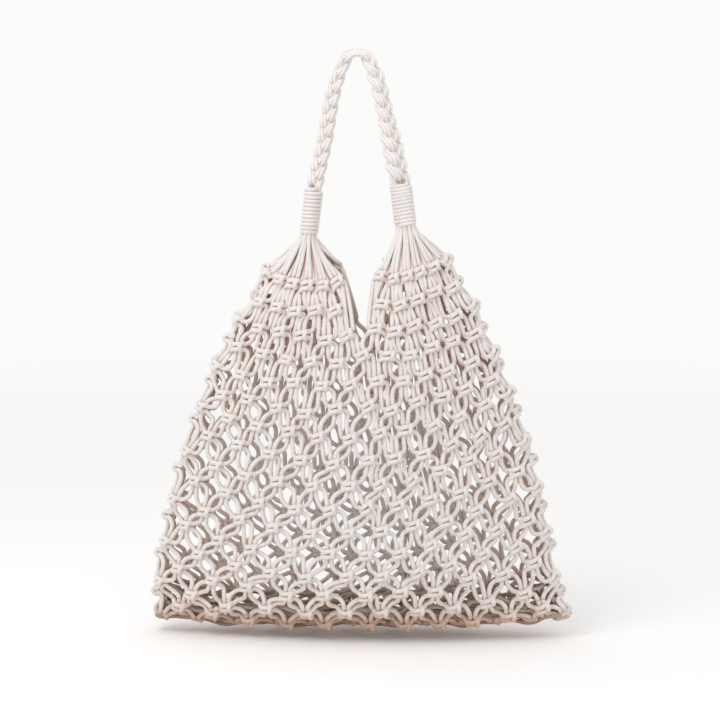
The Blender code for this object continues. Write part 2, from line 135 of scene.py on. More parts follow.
def net_point(u, row):
    """A point of the net's middle surface. u counts knots round the bag: 0 at the middle of the
    front, side_knot at the right side, twice that at the middle of the back; row counts down.
    Across the front x grows a little slower towards the side, and stops just past the last knot.
    Through the depth y is a power of a sine, whose arc starts at the slit of the mouth as a half
    circle for each wing and becomes one half circle for the whole bag at the row that joins
    them. z is a power of x that curls up faster near the foot, with a sine of sag on the left and a
    bell curve at the foot of the front's slit."""
    u = np.mod(np.asarray(u, float) + side_knot, knots_round) - side_knot
    row = np.asarray(row, float)
    back = u > side_knot
    across = np.where(back, 2 * side_knot - u, u)
    side = np.where(across < 0, -1, 1)
    t = np.minimum(np.abs(across) / side_knot, 1)
    face = np.where(back, 1, -1)
    near_mouth = np.clip((9 - row) / 8, 0, 1)
    past = ear_push - ear_pull * near_mouth
    reach = np.minimum(t, ear_share) + past * np.maximum(t - ear_share, 0)
    spread = (reach - slowing * reach**3) / (ear_share - slowing * ear_share**3)
    gap = at_row("gap", row) + mouth_back_gap * back * np.clip((4 - row) / 2, 0, 1)
    x = side * (gap + (at_row("width", row) - gap) * spread)
    x = half_base * (x + at_row("drift", row) * (1 - drift_fade * t))
    joined = np.clip((row - fan_top) / (mouth_row - fan_top), 0, 1) / 2
    arc = np.clip(np.sin(np.pi * (joined + (1 - joined) * t)), 0, 1)
    y = face * half_depth * at_row("depth", row) * arc ** at_row("fullness", row)
    curl = t ** (curl_power + foot_curl * np.clip(row - 14, 0, 3))
    z = at_row("height", row) + at_row("rise", row) * curl + at_row("tilt", row) * side * t
    sag = left_sag * np.clip((17 - row) / 3, 0, 1) * (side < 0)
    z = net_height * (z - sag * np.sin(np.pi * t))
    behind = near_mouth * np.cos(np.pi * t / 2) * back
    x = x + mouth_back_shift * behind + foot_shift * np.clip(row - 15, 0, 2) / 2
    slit = np.exp(-(((u - slit_middle) / slit_reach) ** 2)) * np.clip((7 - row) / 3, 0, 1)
    z = z + mouth_front_lift * slit + mouth_back_rise * behind
    return np.stack([x, y, net_foot + z], -1)


def unit(v):
    """Each vector divided by its own length."""
    return v / np.maximum(np.linalg.norm(v, axis=-1, keepdims=True), 1e-12)


def turned_pair(first, second, angle):
    """Two directions square to each other, turned by an angle from the first towards the second."""
    return (
        first * np.cos(angle) + second * np.sin(angle),
        second * np.cos(angle) - first * np.sin(angle),
    )


knot_size = 1.05
size_spread = 0.04
place_spread = (0.035, 0.07)
turn_spread = np.radians(6)
lean_spread = np.radians(5)
full_pitch = 0.0150
least_width = 0.78
foot_flatness = 0.55
foot_tip = 0.3


def knot_places(row):
    """Centres and axes of one row of knots: right and down along the net, and outwards. Each knot
    sits a little off its place and is turned a little, as hand-tied knots are."""
    u = np.arange(knots_round) + (row % 2) / 2
    step = 0.02
    wobble = chance.normal(0, 1, (5, knots_round))
    centre = net_point(u + place_spread[0] * wobble[0], row + place_spread[1] * wobble[1])
    right = unit(net_point(u + step, row) - net_point(u - step, row))
    down = net_point(u, min(row + step, last_row)) - net_point(u, max(row - step, 1))
    if row == last_row:
        down = net_point(u, row) - net_point(u, row - 0.6)
        down[:, 2] *= foot_tip
    down = unit(down - right * np.sum(down * right, -1, keepdims=True))
    out = np.cross(down, right)
    right, down = turned_pair(right, down, turn_spread * wobble[2][:, None])
    down, out = turned_pair(down, out, lean_spread * wobble[3][:, None])
    pitch = np.linalg.norm(net_point(u + 0.5, row) - net_point(u - 0.5, row), axis=-1)
    narrow = np.clip(pitch / full_pitch, least_width, 1.0)
    size = knot_size + size_spread * wobble[4]
    flat = size * (foot_flatness if row == last_row else 1)
    return centre, right * (narrow * size)[:, None], down * size[:, None], out * flat[:, None]


# The square knot, in shares of the cord's thickness: across to the right, down and out of the
# net. The bar cord passes twice over the two filling cords; the binding cord holds its turns.
# The working cords are sheared, so that the bars of each knot rise towards the right.
bar_way = np.array(
    [
        (1.54, -0.72, -0.20), (1.38, -0.62, -0.02), (1.16, -0.58, 0.26), (0.84, -0.60, 0.56),
        (0.42, -0.58, 0.84), (-0.10, -0.53, 0.94), (-0.72, -0.44, 0.76), (-1.12, -0.26, 0.38),
        (-1.26, 0.10, 0.14), (-1.10, 0.46, 0.34), (-0.72, 0.58, 0.68), (-0.10, 0.53, 0.88),
        (0.42, 0.46, 0.78), (0.84, 0.40, 0.50), (1.16, 0.38, 0.14), (1.36, 0.44, -0.08),
        (1.52, 0.56, -0.22),
    ]
)
bind_way = np.array(
    [
        (-1.52, -0.68, -0.18), (-1.38, -0.60, 0.06), (-1.20, -0.58, 0.40), (-1.02, -0.46, 0.74),
        (-0.82, -0.24, 0.40),
        (-0.58, -0.20, -0.50), (0.00, -0.24, -0.84), (0.66, -0.40, -0.62), (1.02, -0.74, 0.10),
        (0.98, -0.70, 0.86), (0.88, -0.36, 1.36), (0.84, 0.02, 1.46), (0.86, 0.38, 1.30),
        (0.94, 0.66, 0.82), (0.98, 0.62, 0.10), (0.66, 0.32, -0.62), (0.00, 0.24, -0.84),
        (-0.58, 0.20, -0.50), (-0.82, 0.38, 0.36), (-1.02, 0.64, 0.66), (-1.24, 0.74, 0.32),
        (-1.40, 0.80, 0.00), (-1.54, 0.88, -0.20),
    ]
)
filler_way = np.array(
    [(0.47, -1.25, 0.02), (0.44, -0.4, -0.02), (0.44, 0.4, -0.02), (0.47, 1.25, 0.02)]
)
bar_rise = 0.10
knot_shear = np.array([[1, -bar_rise, 0], [0, 1, 0], [0, 0, 1]])
turn_stations = 27
filler_stations = 4
link_stations = 7
curve_steps = 24


def along_curve(points, count):
    """count places, evenly spaced by length, on the smooth curve through some points: between two
    of them it is the cubic whose end slopes are half the chord between their neighbours."""
    padded = np.vstack([2 * points[0] - points[1], points, 2 * points[-1] - points[-2]])
    t = np.linspace(0, 1, curve_steps, endpoint=False)[None, :, None]
    a, b, c, d = (padded[k : len(padded) - 3 + k, None] for k in range(4))
    square = 2 * a - 5 * b + 4 * c - d
    cube = 3 * b - a - 3 * c + d
    dense = 2 * b + (c - a) * t + square * t**2 + cube * t**3
    dense = np.vstack([(dense / 2).reshape(-1, points.shape[1]), points[-1:]])
    run = np.concatenate([[0], np.cumsum(np.linalg.norm(np.diff(dense, axis=0), axis=1))])
    at = np.linspace(0, run[-1], count)
    return np.stack([np.interp(at, run, column) for column in dense.T], 1)


bar_turns = along_curve(bar_way @ knot_shear, turn_stations) * cord
bind_turns = along_curve(bind_way @ knot_shear, turn_stations) * cord
filler_run = along_curve(filler_way, filler_stations) * cord
mirror = np.array([-1, 1, 1])
# The four cords of a knot from left to right: binding, filler, filler, bar.
templates = (bind_turns, filler_run * mirror, filler_run, bar_turns)
step_left = np.array([1, 1, 0, 0], bool)
next_role = np.array([2, 3, 0, 1])


def bezier(p0, p1, p2, p3, t):
    """The cubic Bezier curve through p0 and p3 with handles p1 and p2, at the shares t."""
    return p0 * (1 - t) ** 3 + 3 * p1 * t * (1 - t) ** 2 + 3 * p2 * t**2 * (1 - t) + p3 * t**3


def bend(start, way_out, end, way_in, count, roundness=0.58, least=0.0022):
    """Stations between the end of one stretch and the start of the next: a cubic Bezier curve
    whose handles reach along each way as far as the other end lies that way, times the
    roundness, so that a quarter turn comes out as a quarter ellipse."""
    across = end - start
    first = np.maximum(np.sum(across * way_out, -1, keepdims=True) * roundness, least)
    second = np.maximum(np.sum(across * way_in, -1, keepdims=True) * roundness, least)
    t = (np.arange(1, count + 1) / (count + 1))[None, :, None]
    first_handle = (start + way_out * first)[:, None]
    second_handle = (end - way_in * second)[:, None]
    return bezier(start[:, None], first_handle, second_handle, end[:, None], t)


def net_paths():
    """Stations of every cord from row 1 to the keel, as two arrays: the cords that start as
    workers and those that start as fillers. A worker of one row is a filler of the next."""
    places = [knot_places(row) for row in range(1, last_row + 1)]
    groups = []
    for first_roles in ((0, 3), (1, 2)):
        knot = np.repeat(np.arange(knots_round), 2)
        role = np.tile(first_roles, knots_round)
        starts = knot.copy(), role.copy()
        stretches = []
        for row in range(1, last_row + 1):
            centre, right, down, out = (value[knot] for value in places[row - 1])
            template = np.stack([templates[r] for r in role])
            stretch = (
                centre[:, None]
                + template[..., :1] * right[:, None]
                + template[..., 1:2] * down[:, None]
                + template[..., 2:] * out[:, None]
            )
            missing = (row == 2) & (knot % (knots_round // 2) == 0)
            stretches.append((stretch, missing, knot, role))
            left = step_left[role]
            if row % 2:
                knot = np.where(left, knot, knot + 1) % knots_round
            else:
                knot = np.where(left, knot - 1, knot) % knots_round
            role = next_role[role]
        groups.append((starts, stretches))
    return places, groups


slack_range = (0.60, 0.80)
least_bulge = 0.0020
edge_pull = 5
edge_roundness = 0.25


def joined_path(stretches):
    """One run of stations for each cord: its stretches in the knots with bends between them. At
    the edge of the mouth, where row 2 has no knot, a cord runs straight on to row 3."""
    runs = [stretches[0][0]]
    for row, (before, after) in enumerate(zip(stretches, stretches[1:]), 1):
        way_out = unit(before[0][:, -1] - before[0][:, -2])
        way_in = unit(after[0][:, 1] - after[0][:, 0])
        slack = chance.uniform(*slack_range, (len(way_in), 1))
        bulge = least_bulge + least_bulge * min(row / 7, 1)
        start, end = before[0][:, -1], after[0][:, 0]
        runs.append(bend(start, way_out, end, way_in, link_stations, slack, bulge))
        runs.append(after[0])
    stretch, missing, _, _ = stretches[1]
    start, end = stretches[0][0][missing], stretches[2][0][missing]
    ahead = unit(end[:, 0] - start[:, -1])
    way_out = unit(unit(start[:, -1] - start[:, -2]) + edge_pull * ahead)
    way_in = unit(unit(end[:, 1] - end[:, 0]) + edge_pull * ahead)
    count = 2 * link_stations + stretch.shape[1]
    edge = bend(start[:, -1], way_out, end[:, 0], way_in, count, edge_roundness)
    runs[1][missing] = edge[:, :link_stations]
    runs[2][missing] = edge[:, link_stations:-link_stations]
    runs[3][missing] = edge[:, -link_stations:]
    return runs


def carried_frames(line):
    """Two directions square to each line at each station. The first pair is square to the line's
    start; each next pair is the one before it, turned by the same turn as the line."""
    tangent = unit(np.gradient(line, axis=1))
    seed = np.cross(tangent[:, 0], np.array([0.31, 0.17, 0.93]))
    across = np.empty_like(line)
    across[:, 0] = unit(seed)
    for k in range(1, line.shape[1]):
        carried = across[:, k - 1]
        along = tangent[:, k]
        across[:, k] = unit(carried - along * np.sum(carried * along, -1, keepdims=True))
    return across, np.cross(tangent, across)


def cord_mesh(name, bundles, sides=8):
    """Round tubes in one mesh. Each bundle holds the lines of some cords, station by station, and
    their radius there. The rings stand on frames carried along the line. A UV map holds the
    share of the way round and the length along the cord in metres; both ends are closed."""
    points, quads, caps, quad_uv = [], [], [], []
    first = 0
    around = 2 * np.pi * np.arange(sides) / sides
    for line, radius in bundles:
        across, up = carried_frames(line)
        radius = np.broadcast_to(radius, line.shape[:2])[..., None, None]
        ring = across[:, :, None] * np.cos(around)[:, None]
        ring = ring + up[:, :, None] * np.sin(around)[:, None]
        count, stations = line.shape[:2]
        points.append((line[:, :, None] + ring * radius).reshape(-1, 3))
        number = first + np.arange(count * stations * sides).reshape(count, stations, sides)
        turned = np.roll(number, -1, axis=2)
        quad = np.stack([number[:, :-1], turned[:, :-1], turned[:, 1:], number[:, 1:]], -1)
        quads.append(quad.reshape(-1, 4))
        caps.append(np.concatenate([number[:, 0, ::-1], number[:, -1]]))
        steps = np.diff(line, axis=1, prepend=line[:, :1])
        length = np.cumsum(np.linalg.norm(steps, axis=-1), axis=1)
        v = np.stack([length[:, :-1], length[:, :-1], length[:, 1:], length[:, 1:]], -1)
        v = np.broadcast_to(v[:, :, None], quad.shape)
        u = (np.arange(sides)[:, None] + np.array([0, 1, 1, 0])) / sides
        quad_uv.append(np.stack([np.broadcast_to(u, quad.shape), v], -1).reshape(-1, 2))
        first += count * stations * sides
    points, quads, caps = np.concatenate(points), np.concatenate(quads), np.concatenate(caps)
    mesh = bpy.data.meshes.new(name)
    mesh.vertices.add(len(points))
    mesh.vertices.foreach_set("co", points.ravel())
    loops = np.concatenate([quads.ravel(), caps.ravel()])
    mesh.loops.add(len(loops))
    mesh.loops.foreach_set("vertex_index", loops)
    cap_starts = 4 * len(quads) + sides * np.arange(len(caps))
    starts = np.concatenate([4 * np.arange(len(quads)), cap_starts])
    mesh.polygons.add(len(starts))
    mesh.polygons.foreach_set("loop_start", starts)
    mesh.polygons.foreach_set("use_smooth", np.arange(len(starts)) < len(quads))
    mesh.update(calc_edges=True)
    uv = np.concatenate([np.concatenate(quad_uv), np.zeros((caps.size, 2))])
    mesh.uv_layers.new(name="cord").data.foreach_set("uv", uv.ravel())
    mesh.validate()
    piece = bpy.data.objects.new(name, mesh)
    bpy.context.scene.collection.objects.link(piece)
    return piece


class Wire:
    """One output of a material's nodes. Its arithmetic adds Math nodes, and node() adds any other
    node: its type, its settings, which are set first, and the values or wires of its inputs."""

    def __init__(self, tree, socket=None):
        self.tree = tree
        self.socket = socket

    def node(self, kind, settings=None, inputs=None, output=0):
        made = self.tree.nodes.new(kind)
        for key, value in (settings or {}).items():
            setattr(made, key, value)
        for key, value in (inputs or {}).items():
            if isinstance(value, Wire):
                self.tree.links.new(value.socket, made.inputs[key])
            else:
                made.inputs[key].default_value = value
        return Wire(self.tree, made.outputs[output])

    def math(self, operation, *values):
        return self.node("ShaderNodeMath", {"operation": operation}, dict(enumerate(values)))

    def __add__(self, other):
        return self.math("ADD", self, other)

    def __sub__(self, other):
        return self.math("SUBTRACT", self, other)

    def __rsub__(self, other):
        return self.math("SUBTRACT", other, self)

    def __mul__(self, other):
        return self.math("MULTIPLY", self, other)

    def __pow__(self, other):
        return self.math("POWER", self, other)

    __radd__ = __add__
    __rmul__ = __mul__


plaits_round = 4
usual_grooves = 0.55
# The ambient occlusion reach and range below paint shade: within them the cords turn to a warm
# recess colour.
painted_shade_reach = 0.09
painted_shade_full = 0.12
painted_shade_none = 0.62
painted_recess_shade = (0.80, 0.60, 0.48)
# Painted shade near the foot: the colour is darkened by a tint, the more the lower the cord lies.
foot_shade_height = 0.016
foot_shade_tint = (0.74, 0.62, 0.56)


def cotton(
    name, light, shade, plait=0.0024, depth=0.00012, grooves=usual_grooves, recess_shade=painted_recess_shade
):
    """Plaited cotton: two sets of yarns run round the cord in opposite helices, so their crests
    are the product of two cosines on the cord's own UV map. Fine fibres roughen it, the grooves
    are painted a little darker as painted shade, the whole is a little uneven in tone, and where
    other cords lie close, an ambient occlusion node turns it towards a warm recess colour: painted
    shade. Near the foot the colour is multiplied by a tint, the more the lower the cord lies:
    painted shade where the net curls under."""
    material = bpy.data.materials.new(name)
    material.use_nodes = True
    tree = material.node_tree
    shader = tree.nodes["Principled BSDF"]
    start = Wire(tree)
    uv = start.node("ShaderNodeUVMap", {"uv_map": "cord"})
    around = start.node("ShaderNodeSeparateXYZ", None, {0: uv}, 0)
    along = start.node("ShaderNodeSeparateXYZ", None, {0: uv}, 1)
    place = start.node("ShaderNodeTexCoord", None, None, "Object")
    rising = start.math("COSINE", (around * plaits_round + along * (1 / plait)) * np.pi)
    falling = start.math("COSINE", (around * plaits_round - along * (1 / plait)) * np.pi)
    crest = start.math("ABSOLUTE", rising * falling) ** 0.6
    fibres = start.node(
        "ShaderNodeTexNoise", None, {"Vector": place, "Scale": 1400.0, "Detail": 3.0}
    )
    tone = start.node("ShaderNodeTexNoise", None, {"Vector": place, "Scale": 38.0, "Detail": 2.0})
    # The grooves between the plaited yarns are painted darker: painted shade.
    evened = (usual_grooves - grooves) * 0.7
    cover = crest * grooves + evened + fibres * 0.30 + tone * 0.35
    base_tone = start.node(
        "ShaderNodeMix",
        {"data_type": "RGBA"},
        {0: start.math("MINIMUM", cover, 1.0), 6: (*shade, 1), 7: (*light, 1)},
        2,
    )
    # Painted shade: where other cords lie within reach, the colour turns towards the recess colour.
    occlusion = start.node(
        "ShaderNodeAmbientOcclusion", {"samples": 4}, {"Distance": painted_shade_reach}, "AO"
    )
    unshaded = start.node(
        "ShaderNodeMapRange",
        None,
        {"Value": occlusion, "From Min": painted_shade_full, "From Max": painted_shade_none},
    )
    colour = start.node(
        "ShaderNodeMix", {"data_type": "RGBA"}, {0: unshaded, 6: (*recess_shade, 1), 7: base_tone}, 2
    )
    # Painted shade: the colour darkens towards the foot.
    height = start.node("ShaderNodeSeparateXYZ", None, {0: place}, 2)
    above_foot_shade = start.node(
        "ShaderNodeMapRange",
        None,
        {"Value": height, "From Min": net_foot, "From Max": net_foot + foot_shade_height},
    )
    foot_shaded = start.node(
        "ShaderNodeMix",
        {"data_type": "RGBA", "blend_type": "MULTIPLY"},
        {0: 1 - above_foot_shade, 6: colour, 7: (*foot_shade_tint, 1)},
        2,
    )
    relief = start.node(
        "ShaderNodeBump", None, {"Strength": 1.0, "Distance": depth, "Height": crest + fibres * 0.6}
    )
    tree.links.new(foot_shaded.socket, shader.inputs["Base Color"])
    tree.links.new(relief.socket, shader.inputs["Normal"])
    tree.links.new((0.98 - crest * 0.12).socket, shader.inputs["Roughness"])
    shader.inputs["Sheen Weight"].default_value = 0.25
    shader.inputs["Sheen Roughness"].default_value = 0.5
    shader.inputs["Specular IOR Level"].default_value = 0.25
    return material


white = (0.80, 0.788, 0.783)
warm_shade = (0.62, 0.57, 0.54)
net_cotton = cotton("knotted_cotton", white, warm_shade)

places, groups = net_paths()
knot_runs = [joined_path(stretches) for _, stretches in groups]
keel = []
for runs, (_, stretches) in zip(knot_runs, groups):
    keel.append((stretches[-1][2], stretches[-1][3], runs[-1]))
# Each front cord of the last row meets the cord behind it half way under the keel.
end_knot = np.concatenate([knot for knot, _, _ in keel])
end_role = np.concatenate([role for _, role, _ in keel])
end_place = np.concatenate([run[:, -1] for _, _, run in keel])
end_way = np.concatenate([unit(run[:, -1] - run[:, -2]) for _, _, run in keel])
table = {(k, r): n for n, (k, r) in enumerate(zip(end_knot.tolist(), end_role.tolist()))}
partner = np.array(
    [table[((knots_round // 2 - 1 - k) % knots_round, 3 - r)] for k, r in zip(end_knot, end_role)]
)
half_way = (end_place + end_place[partner]) / 2
under = unit(end_place[partner] - end_place)
keel_bends = bend(end_place, end_way, half_way, under, link_stations, 0.5, 0.001)
keel_bends = np.concatenate([keel_bends, half_way[:, None]], axis=1)
counts = np.cumsum([0] + [len(knot) for knot, _, _ in keel])

quarters = {
    "front_right": (0, side_knot),
    "back_right": (side_knot, 2 * side_knot),
    "back_left": (2 * side_knot, 3 * side_knot),
    "front_left": (3 * side_knot, 4 * side_knot),
}
for word, (low, high) in quarters.items():
    bundles = []
    for runs, (starts, _) in zip(knot_runs, groups):
        home = starts[0] + 0.5
        here = (home > low) & (home < high)
        bundles.append((np.concatenate([run[here] for run in runs[:-3]], axis=1), cord / 2))
    quarter = cord_mesh(f"net_cords_{word}", bundles)
    quarter.data.materials.append(net_cotton)
    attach(quarter, "root")
    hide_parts(f"net_{word}")

bundles = []
for g, runs in enumerate(knot_runs):
    foot = [runs[-4][:, -1:]] + runs[-3:] + [keel_bends[counts[g] : counts[g + 1]]]
    bundles.append((np.concatenate(foot, axis=1), cord / 2))
keel_piece = cord_mesh("net_cords_keel", bundles)
keel_piece.data.materials.append(net_cotton)
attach(keel_piece, "root")
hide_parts("net_base")

# Seam of the keel. The ends of the cords are laid to and fro along the keel, just inside the last
# rows of knots and through them, and close its gaps with a dense band of cotton cord, whose
# darker, warmer colour is painted shade.
seam_cord = 0.0038
seam_reach = 0.97
seam_rate = (17, 27)
seam_sway = 0.17
seam_waver = 0.35
seam_rows = np.array(
    [
        (15.3, -1, 1.3), (15.8, -1, 1.2), (16.2, -1, 1.0), (16.5, -1, 0.6), (16.8, -1, 0.2),
        (16.95, -1, -0.7), (16.95, 1, -0.7), (16.7, 1, 0.2), (16.4, 1, 0.8), (16.1, 1, 1.2),
        (15.8, 1, 1.3), (15.5, 1, 1.3), (15.2, 1, 1.3), (14.9, 1, 1.3), (16.4, -1, 1.4),
        (16.9, -1, 0.9), (16.9, 1, 0.9),
    ],
    dtype=[("row", float), ("face", float), ("depth", float)],
)


def seam_lines(stations=150):
    """Lines of the laid cords: each follows one row of the net from ear to ear at its own depth
    inside it, and wanders up and down, in and out, as a sum of two sines with phases of its own."""
    count = len(seam_rows)
    share = np.linspace(-seam_reach, seam_reach, stations)[None]
    face = seam_rows["face"][:, None]
    across = side_knot * share * np.ones((count, 1))
    u = np.where(face < 0, across, 2 * side_knot - across)
    phase = chance.uniform(0, 2 * np.pi, (4, count, 1))
    rate = chance.uniform(*seam_rate, (2, count, 1))
    sway = np.sin(rate[0] * share + phase[0]) + 0.6 * np.sin(2.1 * rate[0] * share + phase[1])
    row = np.minimum(seam_rows["row"][:, None] + seam_sway * sway, last_row)
    line = net_point(u, row)
    right = unit(net_point(u + 0.05, row) - net_point(u - 0.05, row))
    down = unit(net_point(u, row) - net_point(u, row - 0.5))
    out = unit(np.cross(down, right))
    waver = np.sin(rate[1] * share + phase[2]) + 0.6 * np.sin(2.3 * rate[1] * share + phase[3])
    inward = seam_rows["depth"][:, None] + seam_waver * waver
    return line - out * (inward * cord)[..., None]


# The seam's colours are darker and warmer than the net's: painted shade, since the band lies inside
# the bag in shadow.
seam_shaded_pale = (0.58, 0.505, 0.455)
seam_shaded_dark = (0.40, 0.33, 0.285)
seam_recess_shade = (0.37, 0.30, 0.255)
seam_cotton = cotton("seam_cotton", seam_shaded_pale, seam_shaded_dark, recess_shade=seam_recess_shade)
seam = cord_mesh("keel_seam_cords", [(seam_lines(), seam_cord / 2)])
seam.data.materials.append(seam_cotton)
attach(seam, "root")

# Gathered wings. The 48 cords of each wing leave its first row of knots upwards, draw together
# and pass through the binding. About every third one lies on the outside there.
wrap_lean = 0.125
wrap_length = 0.0405
left_turns_above = 0.0025
wrap_width = 0.0174
wrap_depth = 0.0252
wrap_cord = 0.0035
right_turn = np.radians(38)
fan_start = 0.010
lip_spread = 1.1
fan_stations = 15
fan_layers = np.array([0.62, 1.0, 0.86, 0.45])
fan_handles = (0.12, 0.008)
fan_strays = (0.0011, 0.0012)
girth_in_wrap = 0.70
girth_gain = 0.26
swing_above = 2.6
swing_aside = 0.9
swing_behind = 1.3


def wrap_frame(side):
    """Mouth centre, axis and the two cross directions of one binding; side is -1 left, 1 right."""
    low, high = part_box("wrap_left" if side < 0 else "wrap_right")
    axis = unit(np.array([-side * wrap_lean, 0, 1]))
    mouth = (np.array(low) + np.array(high)) / 2 - axis * wrap_length / 2
    turn = right_turn if side > 0 else 0
    across = np.cross([0, 1, 0], axis)
    wide = across * np.cos(turn) + np.array([0, 1, 0]) * np.sin(turn)
    return mouth, axis, wide, np.cross(axis, wide)


def fan_lines(side, knot, role, entry, way_in, behind):
    """Lines of one wing's cords from inside the binding to the first knots. They start on ovals
    about the binding's axis, in the order in which they stand round the wing, and leave along the
    axis. The fillers of a knot come straight down in front; its two working cords come down
    behind them and swing out to the sides only just above the knot."""
    mouth, axis, wide, deep = wrap_frame(side)
    turn = right_turn if side > 0 else 0
    u = np.mod(knot + 0.5 + (role - 1.5) / 4 + side_knot, knots_round) - side_knot
    back = u > side_knot
    across = np.where(back, 2 * side_knot - u, u)
    face = np.where(back, 1, -1)
    around = -np.pi * np.abs(across) / side_knot * face * side + (np.pi if side > 0 else 0) - turn
    filler = (role == 1) | (role == 2)
    layer = fan_layers[role]
    oval = (
        wide * ((wrap_width / 2 - wrap_cord) * layer * np.cos(around))[:, None]
        + deep * ((wrap_depth / 2 - wrap_cord) * layer * np.sin(around))[:, None]
    )
    inside = mouth + axis * fan_start + oval
    lip = mouth + oval * lip_spread
    down_axis = np.broadcast_to(-axis, inside.shape)
    rise = bend(inside, down_axis, lip, down_axis, 2)
    reach = np.linalg.norm(entry - lip, axis=-1, keepdims=True)
    t = (np.arange(0, fan_stations) / fan_stations)[None, :, None]
    stray = chance.normal(0, 1, (2, len(knot), 1))
    below = lip - axis * reach * fan_handles[0] + wide * fan_strays[0] * stray[0]
    near = np.where(filler[:, None], entry - way_in * fan_handles[1], behind)
    near = near + wide * fan_strays[1] * stray[1]
    fall = bezier(lip[:, None], below[:, None], near[:, None], entry[:, None], t)
    return np.concatenate([inside[:, None], rise, fall, entry[:, None]], axis=1)


fan_cotton = cotton("gathered_cotton", white, warm_shade)
for side, word in ((-1, "left"), (1, "right")):
    bundles = []
    for runs, (starts, _) in zip(knot_runs, groups):
        knot, role = starts
        here = (knot < knots_round // 2) == (side > 0)
        first = runs[0][here]
        centre, right, down, out = (value[knot[here]] for value in places[0])
        lean = np.where(role[here] == 0, -1.0, 1.0)[:, None]
        behind = centre - down * cord * swing_above + right * cord * swing_aside * lean
        behind = behind - out * cord * swing_behind
        way_in = unit(first[:, 1] - first[:, 0])
        lines = fan_lines(side, knot[here], role[here], first[:, 0], way_in, behind)
        girth = np.linspace(0, 1, lines.shape[1]) ** 0.5
        bundles.append((lines, cord / 2 * (girth_in_wrap + girth_gain * girth)))
    fan = cord_mesh(f"gathered_cords_{word}_wing", bundles)
    fan.data.materials.append(fan_cotton)
    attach(fan, "root")
    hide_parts(f"gathered_cords_{word}")

# Bindings. Each is one length of cord wound in close turns round the gathered cords, with its
# two ends tucked under the turns.
wrap_turns = 11.5
turn_steps = 36
first_angle = 2.2
tuck_turns = 0.25
tuck_in = 0.8
tip_angle = 0.6
tip_from = 0.6
wrap_fullness = 1.04
wrap_cotton = cotton("wrapped_cotton", white, warm_shade, 0.0020, 0.00008)


def ease(value):
    """0 to 1 with level ends: three times the square less twice the cube."""
    value = np.clip(value, 0, 1)
    return value * value * (3 - 2 * value)


def binding_line(side, tip=0.0):
    """Line of the winding cord: a helix on an oval, whose ends dip under the turns. tip is how far
    the last turn tips towards the front."""
    mouth, axis, wide, deep = wrap_frame(side)
    turns = np.linspace(0, wrap_turns, int(wrap_turns * turn_steps) + 1)
    share = turns / wrap_turns
    around = 2 * np.pi * turns + first_angle
    length = wrap_length + (left_turns_above if side < 0 else 0)
    height = wrap_cord / 2 + (length - wrap_cord) * share
    tipped = np.clip(share - tip_from, 0, 1) / (1 - tip_from)
    height = height + tip * np.sin(around + tip_angle) * tipped
    tuck = ease(np.minimum(turns, wrap_turns - turns) / tuck_turns)
    inset = wrap_cord / 2 + (1 - tuck) * wrap_cord * tuck_in
    ring = (
        wide * ((wrap_width / 2 - inset) * np.cos(around))[:, None]
        + deep * ((wrap_depth / 2 - inset) * np.sin(around))[:, None]
    )
    return mouth + axis * height[:, None] + ring


for side, word, tip in ((-1, "left", 0.0), (1, "right", 0.0016)):
    turns = binding_line(side, tip)[None]
    winding = cord_mesh(f"wound_cord_{word}", [(turns, wrap_cord / 2 * wrap_fullness)])
    winding.data.materials.append(wrap_cotton)
    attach(winding, "root")
    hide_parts(f"wrap_{word}")

# Handle. Three strands, each a bundle of seven cotton cords, are plaited from the bend at the
# top down both legs, and their ends are drawn in and bound into the shoulders.
shoulder_half = 0.0436
shoulder_height = 0.3558
handle_rise = 0.1583
strand_rise = 0.002
strand_seat = 0.009
strand_lead = 0.010
braid_period = 0.043
bend_pinch = 0.74
pinch_length = 0.022
braid_start = 0.10
strand_cord = 0.0031
strand_layers = (2, 3, 2)
swing_out = 0.0040
swing_deep = 0.0034
edge_squeeze = 0.28
foot_squeeze = 0.16
left_swell = 0.06
right_swell = 0.22
swell_from = 0.45
swell_over = 0.35
turn_from = 0.42
turn_over = 0.2
cord_pitch = 0.95
layer_pitch = 0.76
least_girth = 0.85
handle_route = np.array(
    [
        (-0.825, 0.33), (-0.677, 0.51), (-0.532, 0.735), (-0.429, 0.848), (-0.257, 0.957),
        (-0.101, 0.997), (0.062, 1.000), (0.183, 0.985), (0.250, 0.950), (0.411, 0.846),
        (0.511, 0.735), (0.697, 0.512), (0.835, 0.33),
    ]
)
braid_cotton = cotton("braided_cotton", white, warm_shade, 0.0022, 0.00004, 0.20)


def handle_line(stations):
    """Middle line of the handle, from inside the left binding over the bend into the right one."""
    shoulder = cad_low.z + shoulder_height
    middle = np.zeros((len(handle_route), 3))
    middle[:, 0] = handle_route[:, 0] * shoulder_half
    middle[:, 2] = shoulder + handle_route[:, 1] * handle_rise
    ends = []
    for side in (-1, 1):
        mouth, axis, _, _ = wrap_frame(side)
        length = wrap_length + (left_turns_above if side < 0 else 0)
        foot = mouth + axis * (length - strand_seat)
        top = mouth + axis * (length + strand_rise)
        ends.append([foot, top] if side < 0 else [top, foot])
    return along_curve(np.vstack([ends[0], middle, ends[1]]), stations)


